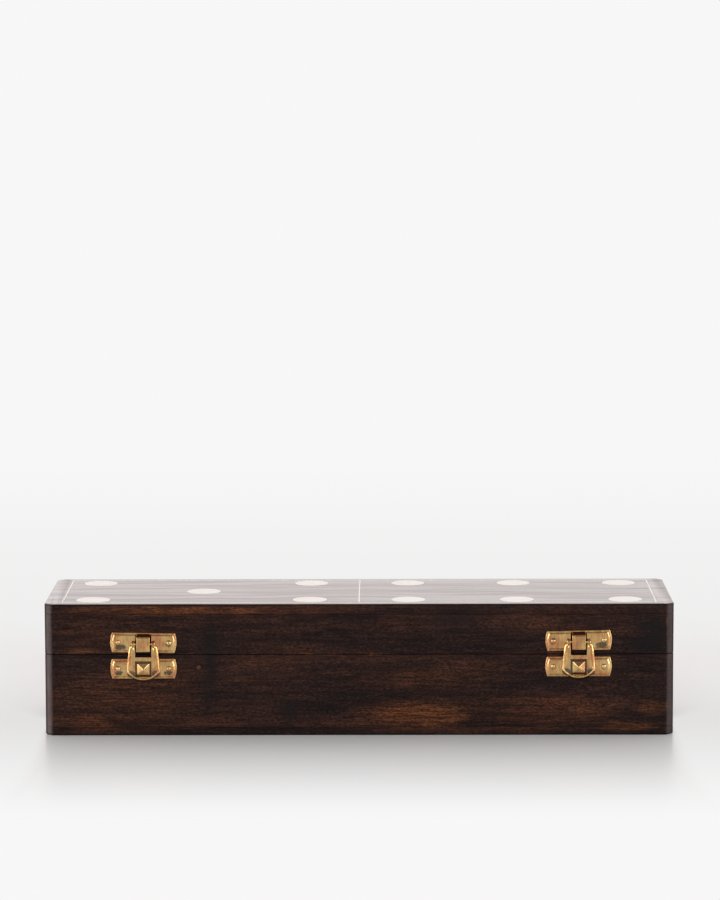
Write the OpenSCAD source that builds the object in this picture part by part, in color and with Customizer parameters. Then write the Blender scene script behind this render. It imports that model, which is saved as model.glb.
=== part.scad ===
// Hinged wooden storage box for a set of dominoes, with an inlaid lid, two stamped
// brass box latches on the front and two small brass butt hinges on the back.
// The origin is the centre of the underside. X runs along the length, the front
// is at -Y and Z is up. All sizes are in millimetres.

/* [Box] */
// Overall length of the wooden box
box_length = 254; // [240:1:360]
// Overall depth of the wooden box, front to back
box_depth = 67; // [62:0.5:120]
// Height of the base, up to its rim
base_height = 33.1; // [24:0.1:80]
// Height of the lid, from its rim to its top face
lid_height = 20.5; // [18:0.1:60]
// Gap left between the two rims when the lid is shut
seam_gap = 0.2; // [0.1:0.05:0.5]
// Thickness of the upright boards
wall = 8; // [7:0.1:12]
// Thickness of the board under the base
bottom_board = 3.4; // [2:0.1:8]
// Thickness of the board over the lid
top_board = 4.3; // [3:0.1:8]

/* [Edges] */
// Width of the flat planed off each upright corner
corner_flat = 2.8; // [1:0.1:5]
// Radius along the top edges of the lid
top_round = 0.4; // [0.3:0.1:2]
// Flat along the bottom edges of the base
foot_flat = 0.5; // [0.2:0.1:1.5]
// Flat along both edges of the seam
seam_flat = 0.2; // [0.1:0.05:0.6]

/* [Inlay] */
// Diameter of each inlaid pip
pip_diameter = 13.8; // [6:0.1:14]
// Gap between the end lines and the pips beside them
pip_end_gap = 4.8; // [1:0.1:12]
// Gap between the centre line and the pips beside it
pip_middle_gap = 12.8; // [4:0.1:16]
// Gap between the long lines and the pips beside them
pip_line_gap = 0.2; // [0.1:0.05:6]
// Depth of the pips and lines in the top board
inlay_depth = 1.5; // [0.5:0.1:2.5]
// Width of the inlaid lines
line_width = 0.65; // [0.4:0.05:1.5]
// Distance of the end lines from the ends of the lid
end_line_inset = 7; // [5:0.5:8]
// Distance of the long lines from the front and back of the lid
long_line_inset = 4.1; // [3:0.1:4.2]
// Clearance round each inlay
inlay_clearance = 0.03; // [0.01:0.01:0.1]

/* [Latch places] */
// Distance of the left latch's middle from the left end of the box
left_latch_inset = 40; // [22:0.5:80]
// Distance of the right latch's middle from the right end of the box
right_latch_inset = 38.5; // [22:0.5:80]
// How much higher the right latch was nailed on
right_latch_lift = 0.7; // [0:0.05:0.7]
// Lean of the left lid plate, clockwise seen from the front
left_plate_lean = 0.9; // [-1.5:0.1:1.5]
// Lean of the right lid plate, clockwise seen from the front
right_plate_lean = -1.2; // [-1.5:0.1:1.5]

/* [Latch plates] */
// Length of a latch plate
plate_length = 26.8; // [24:0.1:34]
// Height of a latch plate
plate_height = 8.2; // [8:0.1:10]
// Thickness of the sheet
plate_sheet = 0.45; // [0.3:0.05:0.8]
// How far the middle of each end bulges past its corners
plate_bulge = 0.8; // [0.3:0.1:1.5]
// Width of the border round the raised panel
plate_border = 0.75; // [0.4:0.05:1.2]
// Width of the slope up to the raised panel
panel_slope = 0.45; // [0.2:0.05:0.8]
// Height of the raised panel over the border
panel_rise = 0.4; // [0.2:0.05:0.8]
// Distance of the lid plate above the seam
lid_plate_rise = 0.8; // [0.6:0.1:2]
// Distance of the catch plate below the seam
catch_plate_drop = 1.6; // [1.2:0.1:2]

/* [Latch hinge] */
// Width of the tab that carries the pin
tab_width = 5.4; // [4:0.1:6]
// Gap beside the tab, on each side
tab_slot = 0.55; // [0.3:0.05:0.8]
// Thickness of the tab
tab_sheet = 0.5; // [0.4:0.05:0.6]
// Height of the lower edge of the tab above the seam
tab_foot = 1.4; // [0.8:0.1:2]
// Height of the tab's bend above the seam
tab_bend = 7.3; // [6.4:0.1:7.6]
// Diameter of the pin
latch_pin_diameter = 1; // [0.8:0.05:1.2]
// Height of the pin above the seam
latch_pin_rise = 4.6; // [4.3:0.1:4.9]
// Distance of the pin in front of the wood
latch_pin_out = 2.1; // [2.05:0.05:2.5]
// Radial clearance round each pin
pin_clearance = 0.05; // [0.02:0.01:0.09]

/* [Hasp] */
// Width of the hasp at its shoulders
hasp_shoulder_width = 11.4; // [10.6:0.1:12.4]
// Width of the hasp above its bar
hasp_waist_width = 12.5; // [11.6:0.1:13.2]
// Width of the hasp at its foot
hasp_foot_width = 13.7; // [12.5:0.1:15]
// Distance of the hasp's lower edge below the seam
hasp_drop = 10.4; // [10:0.1:12]
// Thickness of the hasp
hasp_sheet = 0.9; // [0.6:0.05:1.2]
// Gap between the raised panel of the catch plate and the hasp
hasp_gap = 0.35; // [0.2:0.05:0.6]
// Width of the raised edge of the hasp
hasp_rim = 0.9; // [0.5:0.05:1.2]
// Height of the raised edge of the hasp
hasp_rim_rise = 0.35; // [0.1:0.05:0.6]
// Width of both windows in the hasp
window_width = 6.6; // [6.4:0.1:7.2]
// Height of the bar between the windows
bar_height = 1.6; // [1:0.05:2]
// Distance of that bar's upper edge below the seam
bar_drop = 0.8; // [0.4:0.1:0.9]
// Height of the strip under the lower window
foot_strip = 1.65; // [1.2:0.05:1.7]
// Width of each eye round the pin
eye_width = 1.6; // [0.8:0.05:1.8]

/* [Stud] */
// Width of the pyramid stud
stud_width = 5.4; // [4:0.1:5.8]
// Height of the pyramid stud
stud_height = 5; // [4:0.1:5.2]
// Height of the stud's upright sides over the panel
stud_side = 0.9; // [0.5:0.1:1.5]
// Height of the pyramid on top of them
stud_point = 1.7; // [1:0.1:2.5]

/* [Nails] */
// Distance between the two nails of a latch plate
plate_nail_spacing = 20.4; // [18:0.1:21]
// Diameter of a nail's head
nail_head = 2; // [1.4:0.1:2.6]
// Height of a nail's domed head
nail_dome = 0.45; // [0.2:0.05:0.8]
// Diameter of a nail's shank
nail_shank = 1.1; // [0.8:0.1:1.4]
// Depth of a nail in the wood
nail_depth = 6; // [3:0.5:6.5]
// Clearance round a nail's shank
nail_clearance = 0.02; // [0.01:0.01:0.05]

/* [Back hinges] */
// Distance of each hinge's middle from its end of the box
hinge_inset = 41; // [20:0.5:80]
// Width of a hinge
hinge_width = 22; // [18:0.5:30]
// Height of a leaf from the middle of the barrel
leaf_height = 9.5; // [8:0.1:12]
// Thickness of a leaf
leaf_sheet = 0.8; // [0.6:0.05:1.2]
// Diameter of the barrel
barrel_diameter = 3.2; // [2.8:0.1:4.5]
// Gap between the barrel and the wood behind it
barrel_gap = 0.3; // [0.2:0.05:0.6]
// Diameter of the hinge pin
hinge_pin_diameter = 1.5; // [1.2:0.05:1.8]
// Number of knuckles in a barrel
knuckles = 5; // [3:2:7]
// Gap between neighbouring knuckles
knuckle_gap = 0.3; // [0.2:0.05:0.6]
// Distance between the two nails of a leaf
leaf_nail_spacing = 13; // [8:0.5:14]
// Distance of those nails from the middle of the barrel
leaf_nail_rise = 5.6; // [4.5:0.1:6.2]

/* [Hidden] */
LEFT_PIPS = [for (i = [1:5]) str("left_pip_", i)];
RIGHT_PIPS = [for (i = [1:6]) str("right_pip_", i)];
PIPS = concat(LEFT_PIPS, RIGHT_PIPS);
LINES = ["left_end_line", "centre_line", "right_end_line", "front_line", "back_line"];
BOARDS = [
    "lid_top_board", "lid_front_rail", "lid_back_rail", "lid_left_rail", "lid_right_rail",
    "base_bottom_board", "base_front_board", "base_back_board", "base_left_board", "base_right_board"
];
LATCH_PARTS = ["lid_plate", "lid_plate_nails", "latch_pin", "hasp", "catch_plate", "catch_plate_nails"];
HINGE_PARTS = ["hinge_lid_leaf", "hinge_lid_nails", "hinge_base_leaf", "hinge_base_nails", "hinge_pin"];
SIDES = ["left", "right"];

$fn = 48;
WOOD = "#33261f";
BONE = "#f3e8d8";
BRASS = "#b98d45";

lid_rim = base_height + seam_gap;
box_height = lid_rim + lid_height;
seam_middle = base_height + seam_gap / 2;
front_face = -box_depth / 2;
back_face = box_depth / 2;

// The inlaid lines, as [middle x, middle y, length along x, length along y]
end_line_x = box_length / 2 - end_line_inset;
long_line_y = box_depth / 2 - long_line_inset;
short_line_length = 2 * long_line_y - line_width - 2 * inlay_clearance;
long_line_length = 2 * end_line_x + line_width;
LINE_PLACES = [
    [-end_line_x, 0, line_width, short_line_length],
    [0, 0, line_width, short_line_length],
    [end_line_x, 0, line_width, short_line_length],
    [0, -long_line_y, long_line_length, line_width],
    [0, long_line_y, long_line_length, line_width]
];

// The pips of a five and a six, as columns and rows that keep clear of the lines
pip_room = (line_width + pip_diameter) / 2;
pip_inner_x = pip_room + pip_middle_gap;
pip_outer_x = end_line_x - pip_room - pip_end_gap;
pip_pitch = (pip_outer_x - pip_inner_x) / 2;
pip_centre = (pip_outer_x + pip_inner_x) / 2;
pip_row = long_line_y - pip_room - pip_line_gap;
LEFT_PLACES = [[-1, -1], [-1, 1], [0, 0], [1, -1], [1, 1]];
RIGHT_PLACES = [[-1, -1], [-1, 1], [0, -1], [0, 1], [1, -1], [1, 1]];
PIP_PLACES = concat(
    [for (place = LEFT_PLACES) [-pip_centre + place[0] * pip_pitch, place[1] * pip_row]],
    [for (place = RIGHT_PLACES) [pip_centre + place[0] * pip_pitch, place[1] * pip_row]]
);

// Latch values, measured from the seam and from the wood's front face
plate_end_radius = (pow(plate_height / 2, 2) + pow(plate_bulge, 2)) / (2 * plate_bulge);
panel_top = plate_sheet + panel_rise;
lid_plate_middle = lid_plate_rise + plate_height / 2;
catch_plate_middle = -catch_plate_drop - plate_height / 2;
latch_pin_radius = latch_pin_diameter / 2;
latch_bore_radius = latch_pin_radius + pin_clearance;
tab_knuckle_radius = latch_bore_radius + tab_sheet;
tab_front = latch_pin_out + tab_knuckle_radius;
tab_root = lid_plate_rise + plate_height - plate_border;
eye_inner = tab_width / 2 + tab_slot;
eye_outer = eye_inner + eye_width;
eye_radius = latch_bore_radius + hasp_sheet / 2;
latch_pin_length = 2 * eye_outer + 0.2;
hasp_back = panel_top + hasp_gap;
hasp_front = hasp_back + hasp_sheet;
window_top = -bar_drop - bar_height;
window_bottom = -hasp_drop + foot_strip;

// Outline values of the hasp: round corners that run into one shallow curve
hasp_corner_radius = 3;
hasp_foot_radius = 9;
shoulder_rise = latch_pin_rise - 1.4;
waist_rise = latch_pin_rise - 4.2;

// Hinge values, measured from the middle of the seam and from the wood's back face
barrel_radius = barrel_diameter / 2;
barrel_out = barrel_radius + barrel_gap;
hinge_pin_radius = hinge_pin_diameter / 2;
hinge_bore_radius = hinge_pin_radius + pin_clearance;
knuckle_pitch = hinge_width / knuckles;

function half_sign(side) = side == "left" ? -1 : 1;
function latch_x(side) =
    side == "left" ? left_latch_inset - box_length / 2 : box_length / 2 - right_latch_inset;
function latch_lift(side) = side == "left" ? 0 : right_latch_lift;
function plate_lean(side) = side == "left" ? left_plate_lean : right_plate_lean;
function arc_points(x, y, r, from, to, steps) =
    [for (i = [0:steps]) let (a = from + (to - from) * i / steps) [x + r * cos(a), y + r * sin(a)]];
function mirrored(points) =
    concat(points, [for (i = [len(points) - 1:-1:0]) [-points[i][0], points[i][1]]]);

// Places a child that is drawn flat, with its own Z pointing out of the front
module on_front(x, z) {
    translate([x, front_face, z]) rotate([90, 0, 0]) children();
}

// Places a child that is drawn flat, with its own Z pointing out of the back
module on_back(x, z) {
    translate([x, back_face, z]) rotate([90, 0, 180]) children();
}

// Sweeps a side view, drawn as [height, distance out], across a width
module across(width) {
    rotate([90, 0, 90]) linear_extrude(width, center = true) children();
}

// Wooden boards

// The box seen from above, with a flat planed off each upright corner
module plan_outline() {
    x = box_length / 2;
    y = box_depth / 2;
    c = corner_flat;
    polygon([
        [-x + c, -y], [x - c, -y], [x, -y + c], [x, y - c],
        [x - c, y], [-x + c, y], [-x, y - c], [-x, -y + c]
    ]);
}

// An upright section with small flats at its lower and upper corners
module flat_section(width, height, low, high) {
    x = width / 2;
    polygon([
        [-x + low, 0], [x - low, 0], [x, low], [x, height - high],
        [x - high, height], [-x + high, height], [-x, height - high], [-x, low]
    ]);
}

// An upright section with small flats below and round corners above
module round_section(width, height, low, r) {
    x = width / 2;
    polygon([
        [-x + low, 0], [x - low, 0], [x, low], [x, height - r], [x - r, height - r], [x - r, height],
        [-x + r, height], [-x + r, height - r], [-x, height - r], [-x, low]
    ]);
    for (s = [-1, 1]) translate([s * (x - r), height - r]) circle(r);
}

module base_envelope() {
    intersection() {
        linear_extrude(base_height) plan_outline();
        rotate([90, 0, 0]) linear_extrude(box_depth, center = true)
            flat_section(box_length, base_height, foot_flat, seam_flat);
        rotate([90, 0, 90]) linear_extrude(box_length, center = true)
            flat_section(box_depth, base_height, foot_flat, seam_flat);
    }
}

module lid_envelope() {
    translate([0, 0, lid_rim]) intersection() {
        linear_extrude(lid_height) plan_outline();
        rotate([90, 0, 0]) linear_extrude(box_depth, center = true)
            round_section(box_length, lid_height, seam_flat, top_round);
        rotate([90, 0, 90]) linear_extrude(box_length, center = true)
            round_section(box_depth, lid_height, seam_flat, top_round);
    }
}

// The room that a long board takes, at the front (s = -1) or the back (s = 1)
module long_slab(s, z, height) {
    translate([-box_length / 2, s > 0 ? back_face - wall : front_face, z])
        cube([box_length, wall, height]);
}

// The room that an end board takes, at the left (s = -1) or the right (s = 1)
module end_slab(s, z, height) {
    translate([s > 0 ? box_length / 2 - wall : -box_length / 2, front_face + wall, z])
        cube([wall, box_depth - 2 * wall, height]);
}

module full_slab(z, height) {
    translate([-box_length / 2, front_face, z]) cube([box_length, box_depth, height]);
}

module lid_top_board() {
    color(WOOD) difference() {
        intersection() {
            lid_envelope();
            full_slab(box_height - top_board, top_board);
        }
        for (place = PIP_PLACES) translate([place[0], place[1], box_height - inlay_depth])
            cylinder(r = pip_diameter / 2 + inlay_clearance, h = inlay_depth + 1);
        for (place = LINE_PLACES) line_block(place, inlay_clearance, 1);
    }
}

module lid_board(name) {
    height = lid_height - top_board;
    color(WOOD) difference() {
        intersection() {
            lid_envelope();
            if (name == "lid_front_rail") long_slab(-1, lid_rim, height);
            if (name == "lid_back_rail") long_slab(1, lid_rim, height);
            if (name == "lid_left_rail") end_slab(-1, lid_rim, height);
            if (name == "lid_right_rail") end_slab(1, lid_rim, height);
        }
        if (name == "lid_front_rail") for (side = SIDES) lid_plate_nail_places(side) nail_hole();
        if (name == "lid_back_rail") for (side = SIDES) leaf_nail_places(side, 1) nail_hole();
    }
}

module base_board(name) {
    height = base_height - bottom_board;
    color(WOOD) difference() {
        intersection() {
            base_envelope();
            if (name == "base_bottom_board") full_slab(0, bottom_board);
            if (name == "base_front_board") long_slab(-1, bottom_board, height);
            if (name == "base_back_board") long_slab(1, bottom_board, height);
            if (name == "base_left_board") end_slab(-1, bottom_board, height);
            if (name == "base_right_board") end_slab(1, bottom_board, height);
        }
        if (name == "base_front_board") for (side = SIDES) catch_plate_nail_places(side) nail_hole();
        if (name == "base_back_board") for (side = SIDES) leaf_nail_places(side, -1) nail_hole();
    }
}

// Inlay

// An inlaid line, or its groove when it is drawn larger and taller
module line_block(place, grow, over) {
    translate([
        place[0] - place[2] / 2 - grow, place[1] - place[3] / 2 - grow, box_height - inlay_depth
    ]) cube([place[2] + 2 * grow, place[3] + 2 * grow, inlay_depth + over]);
}

module inlaid_line(i) {
    color(BONE) line_block(LINE_PLACES[i], 0, 0);
}

module pip(i) {
    color(BONE) translate([PIP_PLACES[i][0], PIP_PLACES[i][1], box_height - inlay_depth])
        cylinder(d = pip_diameter, h = inlay_depth);
}

// Nails

// A nail with its head resting at Z = 0 and its shank below it
module nail(shank) {
    r = nail_head / 2;
    sphere_radius = (r * r + nail_dome * nail_dome) / (2 * nail_dome);
    color(BRASS) {
        intersection() {
            translate([0, 0, nail_dome - sphere_radius]) sphere(sphere_radius);
            cylinder(r = r, h = nail_dome);
        }
        translate([0, 0, -shank]) cylinder(d = nail_shank, h = shank);
    }
}

module nail_hole() {
    translate([0, 0, -nail_depth - nail_clearance])
        cylinder(r = nail_shank / 2 + nail_clearance, h = nail_depth + 2);
}

// Latches

// The middle of the seam in front of a latch, with the latch's own height
module at_latch(side) {
    on_front(latch_x(side), seam_middle + latch_lift(side)) children();
}

module lid_plate_nail_places(side) {
    at_latch(side) translate([0, lid_plate_middle, 0]) rotate([0, 0, -plate_lean(side)])
        for (s = [-1, 1]) translate([s * plate_nail_spacing / 2, 0, 0]) children();
}

module catch_plate_nail_places(side) {
    at_latch(side) for (s = [-1, 1])
        translate([s * plate_nail_spacing / 2, catch_plate_middle, 0]) children();
}

// A latch plate's outline, with bowed ends, drawn inset all round
module plate_outline(inset) {
    for (s = [-1, 1]) intersection() {
        translate([s * (plate_length / 2 - plate_end_radius), 0])
            circle(plate_end_radius - inset, $fn = 160);
        translate([s * plate_length / 4, 0])
            square([plate_length / 2, plate_height - 2 * inset], center = true);
    }
}

// A stamped plate: a flat border with a raised panel inside it
module stamped_plate() {
    linear_extrude(plate_sheet) plate_outline(0);
    hull() {
        linear_extrude(plate_sheet) plate_outline(plate_border);
        linear_extrude(panel_top) plate_outline(plate_border + panel_slope);
    }
}

module plate_nail_bores() {
    for (s = [-1, 1]) translate([s * plate_nail_spacing / 2, 0, -1])
        cylinder(r = nail_shank / 2 + nail_clearance, h = panel_top + 2);
}

// The tab seen from the side: a slope off the plate, a straight apron with a curled
// foot, and behind the apron a knuckle round the pin
module tab_section() {
    slope_top = tab_root + plate_border / 2;
    difference() {
        union() {
            polygon([
                [slope_top, 0], [slope_top, plate_sheet], [tab_bend, tab_front],
                [tab_foot + tab_sheet, tab_front], [tab_foot + tab_sheet, tab_front - tab_sheet],
                [tab_bend - tab_sheet * 0.4, tab_front - tab_sheet], [slope_top - tab_sheet * 1.45, 0]
            ]);
            translate([latch_pin_rise, latch_pin_out]) circle(tab_knuckle_radius);
            translate([tab_foot + tab_sheet, tab_front - tab_sheet]) circle(tab_sheet);
        }
        translate([latch_pin_rise, latch_pin_out]) circle(latch_bore_radius);
    }
}

module lid_plate(side) {
    notch = 2 * eye_inner;
    color(BRASS) at_latch(side) {
        difference() {
            translate([0, lid_plate_middle, 0]) rotate([0, 0, -plate_lean(side)]) difference() {
                stamped_plate();
                plate_nail_bores();
            }
            translate([-notch / 2, lid_plate_rise - plate_height, -1])
                cube([notch, tab_root - lid_plate_rise + plate_height, panel_top + 2]);
        }
        across(tab_width) tab_section();
    }
}

module lid_plate_nails(side) {
    lid_plate_nail_places(side) translate([0, 0, panel_top]) nail(nail_depth + panel_top);
}

module latch_pin(side) {
    color(BRASS) at_latch(side) translate([0, latch_pin_rise, latch_pin_out])
        rotate([0, 90, 0]) cylinder(r = latch_pin_radius, h = latch_pin_length, center = true);
}

// One half of the hasp's outline, from the eye down to the middle of the foot
function hasp_half_outline(inset) =
    let (
        foot = hasp_foot_width / 2 - inset,
        waist = hasp_waist_width / 2 - inset,
        shoulder = hasp_shoulder_width / 2 - inset,
        drop = hasp_drop - inset,
        corner = hasp_corner_radius - inset,
        curve = hasp_foot_radius - inset,
        corner_x = foot - corner,
        curve_y = curve - drop,
        corner_y = curve_y - sqrt(pow(curve - corner, 2) - pow(corner_x, 2)),
        turn = atan2(corner_y - curve_y, corner_x)
    )
    concat(
        [
            [eye_outer - inset, latch_pin_rise], [shoulder, shoulder_rise], [waist, waist_rise]
        ],
        arc_points(corner_x, corner_y, corner, 0, turn, 6),
        arc_points(0, curve_y, curve, turn, -90, 6)
    );

module hasp_outline(inset) {
    polygon(mirrored(hasp_half_outline(inset)));
}

module hasp_windows() {
    translate([-window_width / 2, window_bottom])
        square([window_width, window_top - window_bottom]);
    translate([-eye_inner, -bar_drop]) square([2 * eye_inner, latch_pin_rise + bar_drop + eye_radius]);
}

module hasp(side) {
    color(BRASS) at_latch(side) difference() {
        union() {
            translate([0, 0, hasp_back]) linear_extrude(hasp_sheet) difference() {
                hasp_outline(0);
                hasp_windows();
            }
            translate([0, 0, hasp_front]) linear_extrude(hasp_rim_rise) difference() {
                hasp_outline(0);
                hasp_outline(hasp_rim);
                translate([0, latch_pin_rise - eye_radius + 5])
                    square([hasp_foot_width, 10], center = true);
            }
            for (s = [-1, 1]) translate([s * (eye_inner + eye_outer) / 2, latch_pin_rise, latch_pin_out])
                rotate([0, 90, 0]) cylinder(r = eye_radius, h = eye_width, center = true);
        }
        translate([0, latch_pin_rise, latch_pin_out]) rotate([0, 90, 0])
            cylinder(r = latch_bore_radius, h = hasp_foot_width, center = true);
    }
}

// The stud: upright sides and a pyramid, cut from two side views
module stud() {
    top = panel_top + stud_side;
    intersection() {
        across(stud_width) polygon([
            [-stud_height / 2, 0], [stud_height / 2, 0], [stud_height / 2, top],
            [0, top + stud_point], [-stud_height / 2, top]
        ]);
        rotate([90, 0, 0]) linear_extrude(stud_height, center = true) polygon([
            [-stud_width / 2, 0], [stud_width / 2, 0], [stud_width / 2, top],
            [0, top + stud_point], [-stud_width / 2, top]
        ]);
    }
}

module catch_plate(side) {
    color(BRASS) at_latch(side) translate([0, catch_plate_middle, 0]) difference() {
        union() {
            stamped_plate();
            stud();
        }
        plate_nail_bores();
    }
}

module catch_plate_nails(side) {
    catch_plate_nail_places(side) translate([0, 0, panel_top]) nail(nail_depth + panel_top);
}

// Back hinges

module at_hinge(side) {
    on_back(half_sign(side) * (box_length / 2 - hinge_inset), seam_middle) children();
}

// The nails of a leaf, above the barrel (up = 1) or below it (up = -1)
module leaf_nail_places(side, up) {
    at_hinge(side) for (s = [-1, 1])
        translate([s * leaf_nail_spacing / 2, up * leaf_nail_rise, 0]) children();
}

// A run of cylinders on the barrel's axis, one for each knuckle of a leaf
module barrel_run(first, r, length) {
    for (i = [first:2:knuckles - 1])
        translate([-hinge_width / 2 + (i + 0.5) * knuckle_pitch, 0, barrel_out])
            rotate([0, 90, 0]) cylinder(r = r, h = length, center = true);
}

// A leaf with its own knuckles, and notches that clear the other leaf's
module hinge_leaf(side, up) {
    own = up > 0 ? 1 : 0;
    color(BRASS) at_hinge(side) difference() {
        union() {
            difference() {
                translate([-hinge_width / 2, up > 0 ? 0 : -leaf_height, 0])
                    cube([hinge_width, leaf_height, leaf_sheet]);
                barrel_run(1 - own, barrel_radius + knuckle_gap, knuckle_pitch + knuckle_gap);
            }
            barrel_run(own, barrel_radius, knuckle_pitch - knuckle_gap);
        }
        translate([0, 0, barrel_out]) rotate([0, 90, 0])
            cylinder(r = hinge_bore_radius, h = hinge_width + 2, center = true);
        for (s = [-1, 1]) translate([s * leaf_nail_spacing / 2, up * leaf_nail_rise, -1])
            cylinder(r = nail_shank / 2 + nail_clearance, h = leaf_sheet + 2);
    }
}

module hinge_nails(side, up) {
    leaf_nail_places(side, up) translate([0, 0, leaf_sheet]) nail(nail_depth + leaf_sheet);
}

module hinge_pin(side) {
    color(BRASS) at_hinge(side) translate([0, 0, barrel_out]) rotate([0, 90, 0])
        cylinder(r = hinge_pin_radius, h = hinge_width, center = true);
}

// Nodes

lid_top_board();
for (name = ["lid_front_rail", "lid_back_rail", "lid_left_rail", "lid_right_rail"])
    lid_board(name);
for (name = ["base_bottom_board", "base_front_board", "base_back_board", "base_left_board", "base_right_board"])
    base_board(name);
for (i = [0:len(PIPS) - 1])
    pip(i);
for (i = [0:len(LINES) - 1])
    inlaid_line(i);
for (side = SIDES) {
    lid_plate(side);
    lid_plate_nails(side);
    latch_pin(side);
    hasp(side);
    catch_plate(side);
    catch_plate_nails(side);
    hinge_leaf(side, 1);
    hinge_nails(side, 1);
    hinge_leaf(side, -1);
    hinge_nails(side, -1);
    hinge_pin(side);
}
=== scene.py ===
"""Domino storage box: the looks of the hinged wooden box, its inlaid lid, its brass latches
and its brass hinges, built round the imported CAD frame."""

import math
from contextlib import contextmanager
from functools import reduce

import bmesh
import bpy
from mathutils import Matrix, Vector


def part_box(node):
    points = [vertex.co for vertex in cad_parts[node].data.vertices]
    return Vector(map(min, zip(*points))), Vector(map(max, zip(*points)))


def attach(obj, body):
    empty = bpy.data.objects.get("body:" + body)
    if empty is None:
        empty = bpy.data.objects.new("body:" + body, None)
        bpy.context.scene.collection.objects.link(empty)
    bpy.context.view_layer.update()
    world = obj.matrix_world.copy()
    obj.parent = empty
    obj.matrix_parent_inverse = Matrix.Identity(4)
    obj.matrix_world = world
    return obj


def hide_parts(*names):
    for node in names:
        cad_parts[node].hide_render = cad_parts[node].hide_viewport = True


bl_info = {
    "name": "Domino Storage Box",
    "version": (1, 0, 0),
    "blender": (4, 5, 0),
    "location": "View3D > Sidebar > Domino Box",
    "description": "Builds a hinged wooden domino box with an inlaid lid and brass latches",
    "category": "Add Mesh",
}

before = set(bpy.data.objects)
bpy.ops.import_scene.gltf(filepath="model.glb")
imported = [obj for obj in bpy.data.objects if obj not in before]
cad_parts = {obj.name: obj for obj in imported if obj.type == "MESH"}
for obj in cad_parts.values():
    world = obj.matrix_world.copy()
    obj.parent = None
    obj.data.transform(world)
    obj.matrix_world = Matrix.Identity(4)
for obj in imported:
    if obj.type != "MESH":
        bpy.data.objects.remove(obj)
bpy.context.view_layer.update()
SIDES = ("left", "right")
MM = 0.001

LID_BOARDS = ("lid_top_board", "lid_front_rail", "lid_back_rail", "lid_left_rail", "lid_right_rail")
BASE_BOARDS = (
    "base_bottom_board", "base_front_board", "base_back_board", "base_left_board", "base_right_board",
)
PIPS = tuple(f"left_pip_{i}" for i in range(1, 6)) + tuple(f"right_pip_{i}" for i in range(1, 7))
LINES = ("left_end_line", "centre_line", "right_end_line", "front_line", "back_line")

TOP_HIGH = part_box("lid_top_board")[1]
BASE_LOW, BASE_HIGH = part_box("base_front_board")
HALF_LENGTH = TOP_HIGH.x
HALF_DEPTH = TOP_HIGH.y
SEAM = (BASE_HIGH.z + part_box("lid_front_rail")[0].z) / 2

PIP_SIDES = 96
POCKET_ROOM = 0.03 * MM
BOARD_SLICES = 5 * MM
LINE_SLICES = 9 * MM
WAVER_SIZE = 35 * MM
FOOT_CORNER_RISE = 4.4 * MM
FOOT_CORNER_ROUND = 1.9 * MM
WAIST_BELOW_PIN = 4.2 * MM
SHOULDER_BELOW_PIN = 1.4 * MM
EYE_RADIUS = 1.0 * MM
LEAF_CORNER = 1.3 * MM
LEAF_KNUCKLES = 5


# Settings


def length(name, value):
    """A length property, given in millimetres."""
    return bpy.props.FloatProperty(name=name, default=value * MM, min=0.0, unit="LENGTH", precision=5)


def turn(name, value):
    """An angle property, given in degrees."""
    return bpy.props.FloatProperty(name=name, default=math.radians(value), subtype="ANGLE")


def colour(name, value):
    return bpy.props.FloatVectorProperty(name=name, default=value, subtype="COLOR", size=3, min=0.0, max=1.0)


def amount(name, value, high=1.0):
    return bpy.props.FloatProperty(name=name, default=value, min=0.0, max=high)


class WoodSettings(bpy.types.PropertyGroup):
    corner_flat: length("Flat planed off each upright corner", 2.8)
    top_round: length("Radius along the top edges", 0.4)
    foot_flat: length("Flat along the bottom edges", 0.5)
    edge_softness: length("Rounding of the boards' other edges", 0.16)
    hand_waviness: length("How far a planed face strays inwards", 0.09)
    dark_stain: colour("Darkest stain in the wood", (0.0105, 0.0058, 0.0056))
    middle_stain: colour("Usual colour of the stained wood", (0.0362, 0.0144, 0.0102))
    warm_stain: colour("Wood where the stain has worn thin", (0.138, 0.045, 0.0155))
    bare_wood: colour("Unfinished wood inside the box", (0.21, 0.12, 0.068))
    polish: amount("Weight of the clear polish on the top", 1.0)


class InlaySettings(bpy.types.PropertyGroup):
    rim_softness: length("Rounding of the inlay's upper edges", 0.07)
    pip_hollow: length("How far a pip's middle is worn down", 0.05)
    bone: colour("Usual colour of the inlay", (0.98, 0.92, 0.82))
    old_bone: colour("Yellowed parts of the inlay", (0.88, 0.76, 0.60))


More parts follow.
